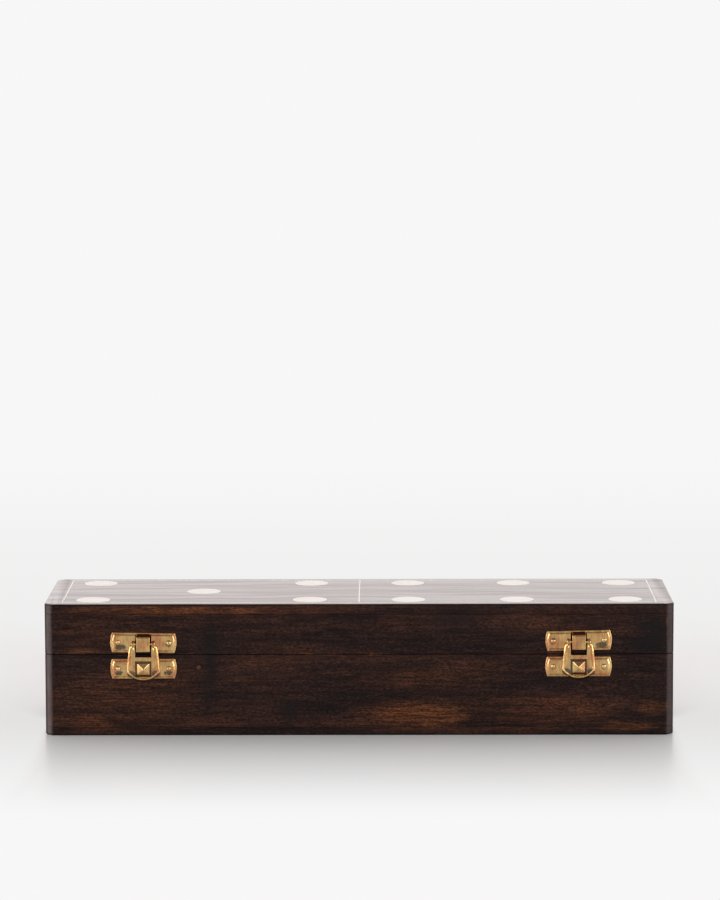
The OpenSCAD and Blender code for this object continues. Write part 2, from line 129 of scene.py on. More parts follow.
class BrassSettings(bpy.types.PropertyGroup):
    plate_length: length("Length of a latch plate", 26.8)
    plate_height: length("Height of a latch plate", 8.2)
    plate_bulge: length("How far the plate's ends bow out", 0.8)
    plate_sheet: length("Thickness of a plate's border", 0.45)
    plate_border: length("Width of a plate's border", 0.75)
    panel_slope: length("Width of the slope up to the panel", 0.45)
    panel_rise: length("Height of the panel over the border", 0.4)
    lid_plate_rise: length("Lid plate's distance above the seam", 0.8)
    catch_plate_drop: length("Catch plate's distance below the seam", 1.6)
    left_lean: turn("Lean of the left lid plate", -0.9)
    right_lean: turn("Lean of the right lid plate", 1.2)
    tab_width: length("Width of the tab over the pin", 5.4)
    tab_sheet: length("Thickness of the tab", 0.5)
    tab_slot: length("Gap beside the tab", 0.55)
    tab_foot: length("Height of the tab's lower edge above the seam", 1.4)
    tab_bend: length("Height of the tab's bend above the seam", 7.3)
    pin_rise: length("Height of the pin above the seam", 4.6)
    pin_out: length("Distance of the pin in front of the wood", 2.1)
    knuckle_radius: length("Radius of the tab round the pin", 1.05)
    hasp_back: length("Distance of the hasp's back from the wood", 1.2)
    hasp_sheet: length("Thickness of the hasp", 0.9)
    hasp_rim: length("Width of the hasp's raised edge", 0.9)
    hasp_rim_rise: length("Height of the hasp's raised edge", 0.35)
    hasp_drop: length("Hasp's lower edge below the seam", 10.4)
    hasp_foot_radius: length("Radius of the hasp's curved foot", 9.0)
    hasp_foot_width: length("Width of the hasp's foot", 13.7)
    hasp_waist_width: length("Width of the hasp above its bar", 12.5)
    hasp_shoulder_width: length("Width of the hasp's shoulders", 11.4)
    window_width: length("Width of the hasp's windows", 6.6)
    bar_drop: length("Upper edge of the hasp's bar below the seam", 0.8)
    bar_height: length("Height of the hasp's bar", 1.6)
    foot_strip: length("Height of the strip under the window", 1.65)
    eye_width: length("Width of each eye round the pin", 1.6)
    stud_width: length("Width of the pyramid stud", 5.4)
    stud_height: length("Height of the pyramid stud", 5.0)
    stud_side: length("Height of the stud's upright sides", 0.9)
    stud_point: length("Height of the pyramid", 1.7)
    nail_spacing: length("Distance between a plate's nails", 20.4)
    nail_head: length("Diameter of a nail's head", 2.0)
    nail_dome: length("Height of a nail's head", 0.45)
    nail_shank: length("Diameter of a nail's shank", 1.1)
    nail_depth: length("Depth of a nail in the wood", 6.0)
    leaf_height: length("Height of a hinge leaf", 9.5)
    leaf_sheet: length("Thickness of a hinge leaf", 0.8)
    barrel_radius: length("Radius of the hinge barrel", 1.6)
    knuckle_gap: length("Gap between neighbouring knuckles", 0.3)
    leaf_nail_spacing: length("Distance between a leaf's nails", 13.0)
    leaf_nail_rise: length("Those nails' distance from the barrel", 5.6)
    softness: length("Rounding of the pressed edges", 0.17)
    gold: colour("Clean brass", (0.72, 0.435, 0.150))
    rose: colour("Brass with a rosy bloom", (0.62, 0.285, 0.105))
    # This dark colour is also painted as shade round the latches' nail heads and studs.
    patina_and_shade: colour("Dark tarnish in the corners", (0.080, 0.056, 0.033))


class StudioSettings(bpy.types.PropertyGroup):
    floor_shade: amount("Grey of the floor", 0.93)
    mirror_reach: length("How slowly the floor's mirror image narrows towards the front", 1478)
    background: amount("Grey of the background", 0.932)
    back_light: amount("Brightness of the surround behind the box", 1.0, 4.0)
    front_light: amount("Brightness of the surround in front", 0.52, 4.0)
    side_light: amount("Brightness of the panels beside the box", 4.2, 8.0)
    ceiling_light: amount("Brightness of the surround high up", 0.31, 4.0)
    side_lamps: amount("Strength of the two soft lamps", 0.55, 10.0)


# Modelling


def clear_selection():
    if bpy.context.object and bpy.context.object.mode != "OBJECT":
        bpy.ops.object.mode_set(mode="OBJECT")
    bpy.ops.object.select_all(action="DESELECT")


def only(piece):
    clear_selection()
    piece.select_set(True)
    bpy.context.view_layer.objects.active = piece
    return piece


def pick(kind, test):
    """Selects vertices, edges or faces of the piece in edit mode, by their place and direction."""
    bpy.ops.mesh.select_mode(type=kind)
    bpy.ops.mesh.select_all(action="DESELECT")
    mesh = bpy.context.object.data
    shape = bmesh.from_edit_mesh(mesh)
    if kind == "VERT":
        for vert in shape.verts:
            vert.select_set(test(vert.co))
    if kind == "EDGE":
        for edge in shape.edges:
            a, b = (v.co for v in edge.verts)
            if test((a + b) / 2, (b - a).normalized()):
                edge.select_set(True)
    if kind == "FACE":
        for face in shape.faces:
            if test(face.calc_center_median(), face.normal):
                face.select_set(True)
    bmesh.update_edit_mesh(mesh)


def near(a, b, tolerance=0.00002):
    return abs(a - b) < tolerance


def settled():
    """Puts the active piece's place, turn and size into its mesh, and hands it back."""
    bpy.ops.object.transform_apply(location=True, rotation=True, scale=True)
    return bpy.context.object


@contextmanager
def editing():
    """Edit mode for as long as a block of steps lasts."""
    bpy.ops.object.mode_set(mode="EDIT")
    yield
    bpy.ops.object.mode_set(mode="OBJECT")


def add_block(low, high):
    """A block between two corners."""
    clear_selection()
    low, high = Vector(low), Vector(high)
    bpy.ops.mesh.primitive_cube_add(size=1, location=(low + high) / 2, scale=high - low)
    return settled()


def add_disc(radius, x, y, vertices=256):
    clear_selection()
    bpy.ops.mesh.primitive_circle_add(vertices=vertices, radius=radius, fill_type="NGON", location=(x, y, 0))
    return settled()


def add_rod(radius, size, middle, vertices=48):
    """A rod along X."""
    clear_selection()
    bpy.ops.mesh.primitive_cylinder_add(
        vertices=vertices, radius=radius, depth=size, location=middle, rotation=(0, math.pi / 2, 0)
    )
    return settled()


def trim(point, normal):
    """Cuts the piece in edit mode and keeps the side behind the cut."""
    bpy.ops.mesh.select_all(action="SELECT")
    bpy.ops.mesh.bisect(plane_co=point, plane_no=normal, clear_outer=True, threshold=0.0000001)


def slice_along(low, high, pitch):
    """Cuts the piece in edit mode across its longer side, every so far."""
    along = 1 if high.y - low.y > high.x - low.x else 0
    steps = round((high[along] - low[along]) / pitch)
    for i in range(1, steps):
        point, normal = Vector((0, 0, 0)), Vector((0, 0, 0))
        point[along] = low[along] + (high[along] - low[along]) * i / steps
        normal[along] = 1
        bpy.ops.mesh.select_all(action="SELECT")
        bpy.ops.mesh.bisect(plane_co=point, plane_no=normal, threshold=0.0000001)


def press(middle, half_x, half_y, section):
    """Presses the selected front face to a section, given as pairs of distance in and height."""
    was_in, was_high = section[0]
    for now_in, now_high in section[1:]:
        extrude(0, 0, now_high - was_high)
        share_x = (half_x - now_in) / (half_x - was_in)
        share_y = (half_y - now_in) / (half_y - was_in)
        bpy.ops.transform.resize(value=(share_x, share_y, 1), center_override=middle)
        was_in, was_high = now_in, now_high


def extrude(x, y, z):
    bpy.ops.mesh.extrude_region_move(TRANSFORM_OT_translate={"value": (x, y, z)})


def tidy_faces():
    bpy.ops.mesh.select_all(action="SELECT")
    bpy.ops.mesh.remove_doubles(threshold=0.000002)
    bpy.ops.mesh.normals_make_consistent(inside=False)


def apply_all(piece):
    only(piece)
    for modifier in list(piece.modifiers):
        bpy.ops.object.modifier_apply(modifier=modifier.name)
    return piece


def cut(piece, cutter, operation="DIFFERENCE"):
    boolean = piece.modifiers.new("cut", "BOOLEAN")
    boolean.operation = operation
    boolean.solver = "EXACT"
    boolean.object = cutter
    apply_all(piece)
    bpy.data.objects.remove(cutter)
    return piece


def soften(piece, width, segments=3, angle=25):
    """Rounds the sharp edges and keeps the flats flat."""
    only(piece)
    bpy.ops.object.shade_smooth()
    bevel = piece.modifiers.new("softened", "BEVEL")
    bevel.width = width
    bevel.segments = segments
    bevel.limit_method = "ANGLE"
    bevel.angle_limit = math.radians(angle)
    bevel.miter_outer = "MITER_ARC"
    return flat_normals(piece)


def flat_normals(piece):
    flats = piece.modifiers.new("flats", "WEIGHTED_NORMAL")
    flats.keep_sharp = True
    flats.weight = 80
    return apply_all(piece)


def even_shading(piece, name):
    """Shades curves smooth and keeps the flats flat, after the last cut."""
    only(piece)
    bpy.ops.object.shade_smooth_by_angle(angle=math.radians(35))
    if name != "lid_top_board":
        return flat_normals(piece)
    for face in piece.data.polygons:
        face.use_smooth = abs(face.normal.z) < 0.999
    return piece


def join(first, *others):
    only(first)
    for other in others:
        other.select_set(True)
    bpy.ops.object.join()
    return first


def move(piece, matrix):
    """Moves a finished shape into place, with the place in its mesh."""
    only(piece)
    piece.matrix_world = matrix @ piece.matrix_world
    return settled()


def copy_of(piece):
    only(piece)
    bpy.ops.object.duplicate(linked=False)
    return bpy.context.object


def put_on(piece, node, body, material_slot, *materials):
    """Names a finished piece, gives it its finishes and lets it stand for its CAD node."""
    piece.name = piece.data.name = node + "_finished"
    for material in materials:
        piece.data.materials.append(material)
    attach(piece, body)
    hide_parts(node)


def on_front(x, z):
    return Matrix.Translation((x, -HALF_DEPTH, z)) @ Matrix.Rotation(math.pi / 2, 4, "X")


def on_back(x, z):
    about = Matrix.Rotation(math.pi, 4, "Z") @ Matrix.Rotation(math.pi / 2, 4, "X")
    return Matrix.Translation((x, HALF_DEPTH, z)) @ about


# Node trees


class Value:
    """A node's output that can be reckoned with like a number."""

    def __init__(self, graph, socket):
        self.graph = graph
        self.socket = socket

    def __add__(self, other):
        return self.graph.reckon("ADD", self, other)

    def __sub__(self, other):
        return self.graph.reckon("SUBTRACT", self, other)

    def __rsub__(self, other):
        return self.graph.reckon("SUBTRACT", other, self)

    def __mul__(self, other):
        return self.graph.reckon("MULTIPLY", self, other)

    def __truediv__(self, other):
        return self.graph.reckon("DIVIDE", self, other)

    def __abs__(self):
        return self.graph.reckon("ABSOLUTE", self)

    def rise(self, low, high):
        """0 below low, 1 above high, and smooth between them."""
        return self.graph.fill("MapRange", (self, low, high), interpolation_type="SMOOTHSTEP")

    def fall(self, low, high):
        """1 below low, 0 above high, and smooth between them."""
        return 1.0 - self.rise(low, high)

    def size(self):
        """How long a vector is."""
        return self.graph.fill("VectorMath", (self,), output="Value", operation="LENGTH")

    def parts(self):
        """A vector's three numbers."""
        split = self.graph.node("SeparateXYZ")
        self.graph.put(split.inputs[0], self)
        return [Value(self.graph, socket) for socket in split.outputs]


def is_vector(value):
    return isinstance(value, tuple) or isinstance(value, Value) and value.socket.type == "VECTOR"


class Graph:
    """A node tree, with a short call for each kind of node that the finishes use."""

    def __init__(self, tree):
        self.tree = tree

    def node(self, kind, **settings):
        node = self.tree.nodes.new("ShaderNode" + kind)
        for name, value in settings.items():
            setattr(node, name, value)
        return node

    def put(self, socket, value):
        if isinstance(value, Value):
            self.tree.links.new(value.socket, socket)
        elif socket.type == "RGBA":
            socket.default_value = (*value, 1.0)
        else:
            socket.default_value = value

    def fill(self, kind, values, output=0, **settings):
        """A new node with its first inputs set in order, or others by their names."""
        node = self.node(kind, **settings)
        named = values.items() if isinstance(values, dict) else enumerate(values)
        for place, value in named:
            self.put(node.inputs[place], value)
        return Value(self, node.outputs[output])

    def reckon(self, operation, *values, clamp=False):
        """A sum of numbers, or of vectors where one of the values is a vector."""
        if any(is_vector(value) for value in values):
            return self.fill("VectorMath", values, operation=operation)
        return self.fill("Math", values, operation=operation, use_clamp=clamp)

    def given(self, kind, output, **settings):
        """What a node without inputs says."""
        return self.fill(kind, (), output, **settings)

    def noise(self, place, scale, detail=3.0, roughness=0.5):
        """Noise round a half, stretched where the scale is given for each direction."""
        if isinstance(scale, tuple):
            place, scale = place * scale, 1.0
        inputs = {"Vector": place, "Scale": scale, "Detail": detail, "Roughness": roughness}
        return self.fill("TexNoise", inputs)

    def mix(self, factor, a, b, blend="MIX"):
        return self.fill("Mix", {0: factor, 6: a, 7: b}, 2, data_type="RGBA", blend_type=blend)

    def most(self, *values):
        return reduce(lambda a, b: self.reckon("MAXIMUM", a, b), values)

    def least(self, *values):
        return reduce(lambda a, b: self.reckon("MINIMUM", a, b), values)

    def use(self, tree, *values):
        """Sets a group's inputs in order and hands back its output or outputs."""
        node = self.node("Group", node_tree=tree)
        for socket, value in zip(node.inputs, values):
            self.put(socket, value)
        outputs = [Value(self, socket) for socket in node.outputs]
        return outputs[0] if len(outputs) == 1 else outputs

    def finish(self, *values):
        """Hands a group's results to its outputs, in order."""
        for socket, value in zip(self.tree.nodes.new("NodeGroupOutput").inputs, values):
            self.put(socket, value)
        return self.tree


def group(name, inputs, outputs):
    """An empty node group with named sockets: its graph, and a value for each input."""
    tree = bpy.data.node_groups.new(name, "ShaderNodeTree")
    for way, sockets in (("INPUT", inputs), ("OUTPUT", outputs)):
        for label, kind in sockets.items():
            tree.interface.new_socket(name=label, in_out=way, socket_type="NodeSocket" + kind)
    graph = Graph(tree)
    entry = tree.nodes.new("NodeGroupInput").outputs
    return graph, *(Value(graph, entry[label]) for label in inputs)


def once(make):
    """Makes a group or material the first time it is asked for, and finds it after that."""
    found = {}

    def finished(*values):
        if values not in found:
            found[values] = make(*values)
        return found[values]

    return finished


FINISH = {"Colour": "Color", "Roughness": "Float", "Height": "Float"}
BOARD_SHIFT = (0.613, 0.291, 0.177)
PALE_FLECK = (0.060, 0.047, 0.044)


@once
def wood_grain():
    """Long grain along X: broad clouds, streaks, short fibres and pale flecks."""
    graph, place, board, dark, middle, warm, worn = group(
        "wood grain",
        {"Place": "Vector", "Board": "Float", "Dark": "Color", "Middle": "Color", "Warm": "Color",
         "Worn": "Float"},
        FINISH,
    )
    place = place + board * BOARD_SHIFT
    bent = place + graph.noise(place, (14, 60, 60)) * (0, 3 * MM, 3 * MM)
    clouds = graph.noise(bent, (16, 75, 75), 3.0, 0.55)
    streaks = graph.noise(bent, (28, 430, 430), 4.0, 0.6)
    fibres = graph.noise(bent, (120, 1450, 1450), 2.0, 0.6)
    flecks = graph.noise(bent, (850, 2300, 2300), 1.0, 0.6)
    tone = clouds * 0.6 + streaks * 0.4
    colour = graph.mix(tone.rise(0.34, 0.66), dark, middle)
    thin = worn * ((streaks * 0.6 + fibres * 0.4).rise(0.36, 0.62) * 0.65 + 0.35)
    warmth = graph.reckon("ADD", tone.rise(0.50, 0.70) * 0.13, thin, clamp=True)
    colour = graph.mix(warmth, colour, warm)
    colour = graph.mix(1.0, colour, fibres.rise(0.25, 0.75) * 0.75 + 0.62, "MULTIPLY")
    colour = graph.mix(1.0, colour, flecks.rise(0.25, 0.75) * 1.15 + 0.42, "MULTIPLY")
    colour = graph.mix(flecks.rise(0.64, 0.78) * 0.30, colour, PALE_FLECK)
    return graph.finish(colour, streaks * 0.22 + 0.34, flecks * 0.5 + (fibres * 0.6 + streaks * 0.8))


@once
def patch():
    """A soft, ragged blotch round a place."""
    graph, place, middle, size = group(
        "patch", {"Place": "Vector", "Middle": "Vector", "Size": "Vector"}, {"Mask": "Float"}
    )
    ragged = graph.noise(place, (38, 260, 260), 4.0, 0.6)
    reach = (ragged - 0.5) * 1.5 + ((place - middle) / size).size()
    return graph.finish(reach.fall(0.05, 1.35))


@once
def arris_wear():
    """Stain rubbed off along the box's corners, its top, its foot and the seam."""
    graph, place = group("arris wear", {"Place": "Vector"}, {"Mask": "Float"})
    flat = bpy.context.scene.domino_wood.corner_flat
    x, y, z = abs(place).parts()
    off_x, off_y = HALF_LENGTH - x, HALF_DEPTH - y
    side = graph.least(off_x, off_y)
    nearest = graph.least(
        abs(off_x - flat) + off_y, abs(off_y - flat) + off_x,
        (TOP_HIGH.z - z) + side, z + side, abs(z - SEAM) * 1.6 + side,
    )
    rubbed = graph.noise(place, 95.0, 4.0, 0.65).rise(0.50, 0.68) * (1.3 * MM)
    width = rubbed * (graph.noise(place, 900.0, 2.0, 0.6) + 0.5) + 0.01 * MM
    return graph.finish(graph.reckon("SUBTRACT", 1.0, nearest / width, clamp=True))


RUBBED_BRASS = (0.80, 0.62, 0.36)


@once
def brass_tarnish():
    """Gold with rosy blooms, streaks of wear and dark mottled tarnish, and the dark colour where the mask
    asks for it.
    """
    graph, place, gold, rose, patina_and_shade, tarnish_and_shade = group(
        "brass tarnish",
        {"Place": "Vector", "Gold": "Color", "Rose": "Color", "Patina and shade": "Color", "Tarnish and shade": "Float"}, FINISH,
    )
    blooms = graph.noise(place, 190.0, 3.0, 0.55)
    mottle = graph.noise(place, 750.0, 4.0, 0.6)
    ragged = graph.noise(place, 1100.0, 3.0, 0.6)
    brushing = graph.noise(place, (1500, 700, 260), 3.0, 0.6)
    colour = graph.mix(blooms.rise(0.46, 0.62), gold, rose)
    colour = graph.mix(blooms.fall(0.34, 0.46) * 0.25, colour, RUBBED_BRASS)
    # The mask gives tarnish on the hinges, and on the latches darker patches and painted shade.
    tarnish_and_shade = (tarnish_and_shade * (ragged * 2.4 - 0.1)).rise(0.15, 1.0) * 0.92
    colour = graph.mix(graph.most(mottle.rise(0.50, 0.80) * 0.32, tarnish_and_shade), colour, patina_and_shade)
    colour = graph.mix(1.0, colour, brushing.rise(0.3, 0.7) * 0.42 + 0.74, "MULTIPLY")
    rough = graph.reckon("ADD", tarnish_and_shade * 0.30, mottle * 0.10 + 0.06, clamp=True)
    return graph.finish(colour, rough, brushing * 0.5 + mottle)


# Materials


def new_material(name):
    material = bpy.data.materials.new(name)
    material.use_nodes = True
    graph = Graph(material.node_tree)
    return material, graph, graph.given("TexCoord", "Object")


def dress(material, graph, colour, roughness, height, depth, **levels):
    """Sets a material's colour, roughness and relief, and its shader's other levels."""
    shader = material.node_tree.nodes["Principled BSDF"]
    bump = {"Strength": 1.0, "Distance": depth, "Height": height}
    graph.put(shader.inputs["Base Color"], colour)
    graph.put(shader.inputs["Roughness"], roughness)
    graph.put(shader.inputs["Normal"], graph.fill("Bump", bump))
    for name, level in levels.items():
        graph.put(shader.inputs[name.replace("_", " ")], level)
    return material


class Spot:
    """A blotch on the box's front, in millimetres: its middle, its half width and half height."""

    def __init__(self, x, z, half_width, half_height, strength=1.0):
        self.middle = (x * MM, -HALF_DEPTH, z * MM)
        self.size = (half_width * MM, 6 * MM, half_height * MM)
        self.strength = strength


THIN_STAIN = {
    "orange foot": Spot(24.5, 8.3, 21, 5.5, 0.95),
    "warm foot": Spot(70, 10, 32, 8, 0.30),
    "warm middle": Spot(28, 24, 34, 6, 0.22),
    "red band under the top": Spot(-78, 51.2, 48, 2.6, 0.62),
    "orange spot under the top": Spot(-47, 51.0, 9, 1.6, 0.75),
    "warm lid at the left": Spot(-100, 43, 26, 7, 0.20),
    "band at the right foot": Spot(109, 3.4, 15, 2.2, 0.62),
    "spot at the right foot": Spot(118, 11.5, 7, 3.4, 0.45),
    "rubbed seam": Spot(-112, 34.8, 12, 1.4, 0.45),
    "spot at the left foot": Spot(-107, 4.5, 12, 5, 0.50),
    "warm base at the left": Spot(-96, 15, 36, 13, 0.30),
}
HEAVY_STAIN = {
    "smudge by the knot": Spot(-60, 30, 4, 24),
    "smudge below": Spot(-28, 9, 5, 8),
    "smudge on the lid": Spot(38.5, 48, 15, 5),
    "smudge at the right": Spot(117.5, 42, 9, 11),
}
KNOT_MIDDLE = (-64.8 * MM, -HALF_DEPTH, 28.0 * MM)
SMUDGE_BLACK = (0.0070, 0.0066, 0.0078)
KNOT_RED = (0.105, 0.040, 0.026)
RING_BROWN = (0.009, 0.006, 0.006)
# Painted highlight down the front's planed corners.
CORNER_HIGHLIGHT_GREY = (0.170, 0.130, 0.128)
# A dark line under the top edge, and painted shade along the foot.
TOP_LINE_AND_FOOT_SHADE_BLACK = (0.004, 0.003, 0.003)
PORE_BLACK = (0.004, 0.0035, 0.0035)
PORE_BROWN = (0.33, 0.22, 0.13)


def front_patches(graph, place, spots):
    masks = (graph.use(patch(), place, spot.middle, spot.size) * spot.strength for spot in spots.values())
    return graph.most(*masks)


@once
def front_marks():
    """A small knot and its ring, painted highlight on the planed corners, a dark top line, painted foot
    shade.
    """
    marks = {"Knot": "Float", "Ring": "Float", "Corner highlight": "Float", "Line": "Float"}
    graph, place = group("front marks", {"Place": "Vector"}, marks)
    x, y, z = place.parts()
    reach = ((place - KNOT_MIDDLE) * (1000, 20, 1000)).size()
    knot = reach.fall(0.5, 1.2)
    ring = reach.rise(0.8, 1.2) - reach.rise(1.3, 2.2)
    inward = HALF_LENGTH - abs(x)
    # Painted highlight: a pale strip down each planed corner, stronger on the left, for the light on a
    # rounded corner.
    strip = inward.rise(0.1 * MM, 1.1 * MM) - inward.rise(1.4 * MM, 3.8 * MM)
    brighter_on_left = x.rise(-0.05, 0.05) * -0.62 + 1.0
    cloud = graph.noise(place, (300, 300, 90)).rise(0.2, 0.7) * 0.5 + 0.5
    at_front = (y + HALF_DEPTH).fall(2.0 * MM, 3.2 * MM)
    below = TOP_HIGH.z - z
    line = below.rise(0.05 * MM, 0.2 * MM) - below.rise(0.5 * MM, 1.1 * MM)
    # Painted shade along the foot, where the box meets the floor.
    foot = z.fall(0.45 * MM, 0.95 * MM)
    return graph.finish(knot, ring, strip * brighter_on_left * cloud * at_front, graph.most(line, foot))


def stained_grain(graph, place, worn):
    wood = bpy.context.scene.domino_wood
    board = graph.given("Attribute", "Fac", attribute_name="board")
    return graph.use(wood_grain(), place, board, wood.dark_stain, wood.middle_stain, wood.warm_stain, worn)


@once
def stained_wood():
    """The satin outside of the box."""
    material, graph, place = new_material("stained wood")
    wear = graph.use(arris_wear(), place)
    worn = graph.most(front_patches(graph, place, THIN_STAIN), wear)
    heavy = front_patches(graph, place, HEAVY_STAIN)
    colour, rough, height = stained_grain(graph, place, worn)
    knot, ring, corner_highlight, line = graph.use(front_marks(), place)
    # The corner highlight and the shade along the foot in these marks are painted light.
    for mask, tint in (
        (heavy * 0.7, SMUDGE_BLACK), (knot * 0.8, KNOT_RED), (ring * 0.6, RING_BROWN),
        (corner_highlight * 0.70, CORNER_HIGHLIGHT_GREY), (line * 0.8, TOP_LINE_AND_FOOT_SHADE_BLACK),
    ):
        colour = graph.mix(mask, colour, tint)
    return dress(material, graph, colour, rough, height, 0.06 * MM, Specular_IOR_Level=0.10)


@once
def polished_wood():
    """The lid's top, with a clear polish over the stain."""
    material, graph, place = new_material("polished wood")
    colour, rough, height = stained_grain(graph, place, graph.use(arris_wear(), place))
    sway = graph.noise(place, 22.0, 2.0) * (0, 12 * MM, 0)
    rubbed = graph.noise(place + sway, (11, 190, 190), 4.0, 0.6)
    shine = rubbed.rise(0.38, 0.60) * 0.36 + 0.60 * bpy.context.scene.domino_wood.polish
    return dress(
        material, graph, colour, rough * 0.5, height, 0.012 * MM,
        Specular_IOR_Level=0.5, Coat_Weight=shine, Coat_Roughness=0.09, Coat_IOR=1.5,
    )


@once
def end_grain():
    """The ends of the long boards, with rings and open pores."""
    wood = bpy.context.scene.domino_wood
    material, graph, place = new_material("end grain")
    stretched = place * (40, 150, 150)
    bent = stretched + graph.noise(stretched, 0.6, 2.0) * (2.2, 2.2, 2.2)
    waves = {"Vector": bent, "Scale": 1.4, "Distortion": 3.0, "Detail": 2.0}
    rings = graph.fill("TexWave", waves, "Fac", wave_type="BANDS", bands_direction="Z")
    dots = graph.fill("TexVoronoi", {"Vector": place, "Scale": 1900.0}, "Distance").fall(0.12, 0.32)
    colour = graph.mix(rings, wood.dark_stain, wood.middle_stain)
    colour = graph.mix(graph.use(arris_wear(), place) * 0.9, colour, wood.warm_stain)
    colour = graph.mix(dots * 0.6, colour, PORE_BLACK)
    return dress(
        material, graph, colour, dots * 0.3 + 0.5, rings - dots, 0.05 * MM, Specular_IOR_Level=0.20
    )


@once
def inside_wood():
    """The unfinished inside of the box."""
    bare = Vector(bpy.context.scene.domino_wood.bare_wood)
    material, graph, place = new_material("inside wood")
    board = graph.given("Attribute", "Fac", attribute_name="board")
    colour, rough, height = graph.use(wood_grain(), place, board, bare * 0.62, bare, bare * 1.25, 0.0)
    grime = graph.noise(place, 60.0, 4.0, 0.6).rise(0.5, 0.75)
    colour = graph.mix(grime * 0.5, colour, bare * 0.35)
    return dress(material, graph, colour, rough + 0.28, height, 0.12 * MM, Specular_IOR_Level=0.3)


@once
def bone():
    """Polished bone, with fine streaks and yellowing."""
    inlay = bpy.context.scene.domino_inlay
    material, graph, place = new_material("bone")
    streaks = graph.noise(place, (160, 1500, 1500), 4.0, 0.6)
    age = graph.noise(place, 70.0, 3.0, 0.55)
    pores = graph.noise(place, (900, 5200, 5200), 2.0).rise(0.68, 0.78)
    yellow = age.rise(0.42, 0.70) * 0.45 + streaks.rise(0.45, 0.75) * 0.15
    colour = graph.mix(yellow, inlay.bone, inlay.old_bone)
    colour = graph.mix(pores * 0.22, colour, PORE_BROWN)
    return dress(
        material, graph, colour, streaks * 0.18 + 0.22, streaks - pores, 0.03 * MM,
        Coat_Weight=1.0, Coat_Roughness=0.12,
    )


def soft_reach(place, middle, size):
    """1 at a place, fading to 0 at a distance from it."""
    return ((place - middle) / size).size().fall(0.35, 1.0)


def nail_rim_shade(place, middle):
    """Painted shade: a dark ring where a nail's head meets its plate."""
    radius = bpy.context.scene.domino_brass.nail_head / 2
    return (place - middle).size().fall(radius, radius + 0.35 * MM) * 0.8


def stud_foot_shade(graph, place, out, middle):
    """Painted shade on the plate round the foot of the stud."""
    brass = bpy.context.scene.domino_brass
    x, y, z = place.parts()
    reach = graph.most(x - brass.stud_width / 2, abs(z - middle) - brass.stud_height / 2)
    return reach.fall(0.5 * MM, 1.3 * MM) * out.fall(0.95 * MM, 1.15 * MM)


def latch_patches_and_shade(graph, place, side):
    """Darker patches by a latch's nails and in the hasp's lower corners, painted shade round nail heads and
    stud.
    """
    brass = bpy.context.scene.domino_brass
    x, seam = latch_middle(side)
    local = place - (x, -HALF_DEPTH, seam)
    out = local.parts()[1] * -1.0
    flat = local * (1, 0, 1)
    folded = abs(local) * (1, 0, 0) + local * (0, 0, 1)
    outer, under_strength = (-1, 1.0) if side == "left" else (1, 0.25)
    across = brass.nail_spacing / 2
    lid_nail, catch_nail = plate_middles(brass)
    field = brass.hasp_back + brass.hasp_sheet
    corners = soft_reach(folded, (4.9 * MM, 0, -7.7 * MM), (2.7 * MM, 1, 2.3 * MM))
    wedge = soft_reach(flat, (outer * (across - 1.0 * MM), 0, lid_nail - 1.75 * MM), (3.6 * MM, 1, 1.7 * MM))
    inner = soft_reach(flat, (-outer * across, 0, lid_nail - 0.6 * MM), (1.7 * MM, 1, 1.9 * MM))
    under = soft_reach(folded, (across - 0.2 * MM, 0, catch_nail - 1.7 * MM), (2.5 * MM, 1, 1.5 * MM))
    return graph.most(
        wedge, inner * 0.7, under * under_strength,
        corners * out.fall(field + 0.06 * MM, field + 0.22 * MM),
        # Painted shade: dark rings round the nails' heads and round the stud's foot.
        nail_rim_shade(folded, (across, 0, lid_nail)), nail_rim_shade(folded, (across, 0, catch_nail)),
        stud_foot_shade(graph, folded, out, catch_nail),
    )


def brass_material(name, tarnish_and_shade_at, dullness, depth):
    """Tarnished brass; tarnish_and_shade_at gives the mask of tarnish and painted shade from the graph and
    the place.
    """
    brass = bpy.context.scene.domino_brass
    material, graph, place = new_material(name)
    tarnish_and_shade = tarnish_and_shade_at(graph, place)
    colour, rough, height = graph.use(brass_tarnish(), place, brass.gold, brass.rose, brass.patina_and_shade, tarnish_and_shade)
    return dress(
        material, graph, colour, rough + dullness, height, depth,
        Metallic=1.0, Coat_Weight=0.8, Coat_Roughness=0.12,
    )


@once
def latch_brass(side):
    """A latch's brass, dark round its nails and stud, partly as painted shade, and in the hasp's lower
    corners.
    """
    name = f"{side} latch brass"
    return brass_material(name, lambda graph, place: latch_patches_and_shade(graph, place, side), 0.0, 0.008 * MM)


@once
def nail_brass():
    """The nails' brass, rubbed dull."""
    return brass_material("nail brass", lambda graph, place: 0.0, 0.14, 0.01 * MM)


@once
def hinge_brass():
    """The hinges' brass, duller than the latches'."""
    def clouds(graph, place):
        return graph.noise(place, 260.0, 3.0, 0.6).rise(0.45, 0.75)

    return brass_material("hinge brass", clouds, 0.0, 0.03 * MM)


# Wooden boards


def lengthwise(name):
    return "left" not in name and "right" not in name


def at_corner(co):
    return near(abs(co.x), HALF_LENGTH) and near(abs(co.y), HALF_DEPTH)


def shaped_board(name):
    """One board with its corners and edges planed, softened all round."""
    wood = bpy.context.scene.domino_wood
    low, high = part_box(name)
    piece = add_block(low, high)
    with editing():
        if lengthwise(name):
            pick("EDGE", lambda middle, way: abs(way.z) > 0.99 and at_corner(middle))
            bpy.ops.mesh.bevel(offset=wood.corner_flat, segments=1)
        if name == "lid_top_board":
            pick("EDGE", lambda middle, way: near(middle.z, high.z))
            bpy.ops.mesh.bevel(offset=wood.top_round, segments=5)
        if name == "base_bottom_board":
            pick("EDGE", lambda middle, way: near(middle.z, low.z))
            bpy.ops.mesh.bevel(offset=wood.foot_flat, segments=1)
    return soften(piece, wood.edge_softness, 2)


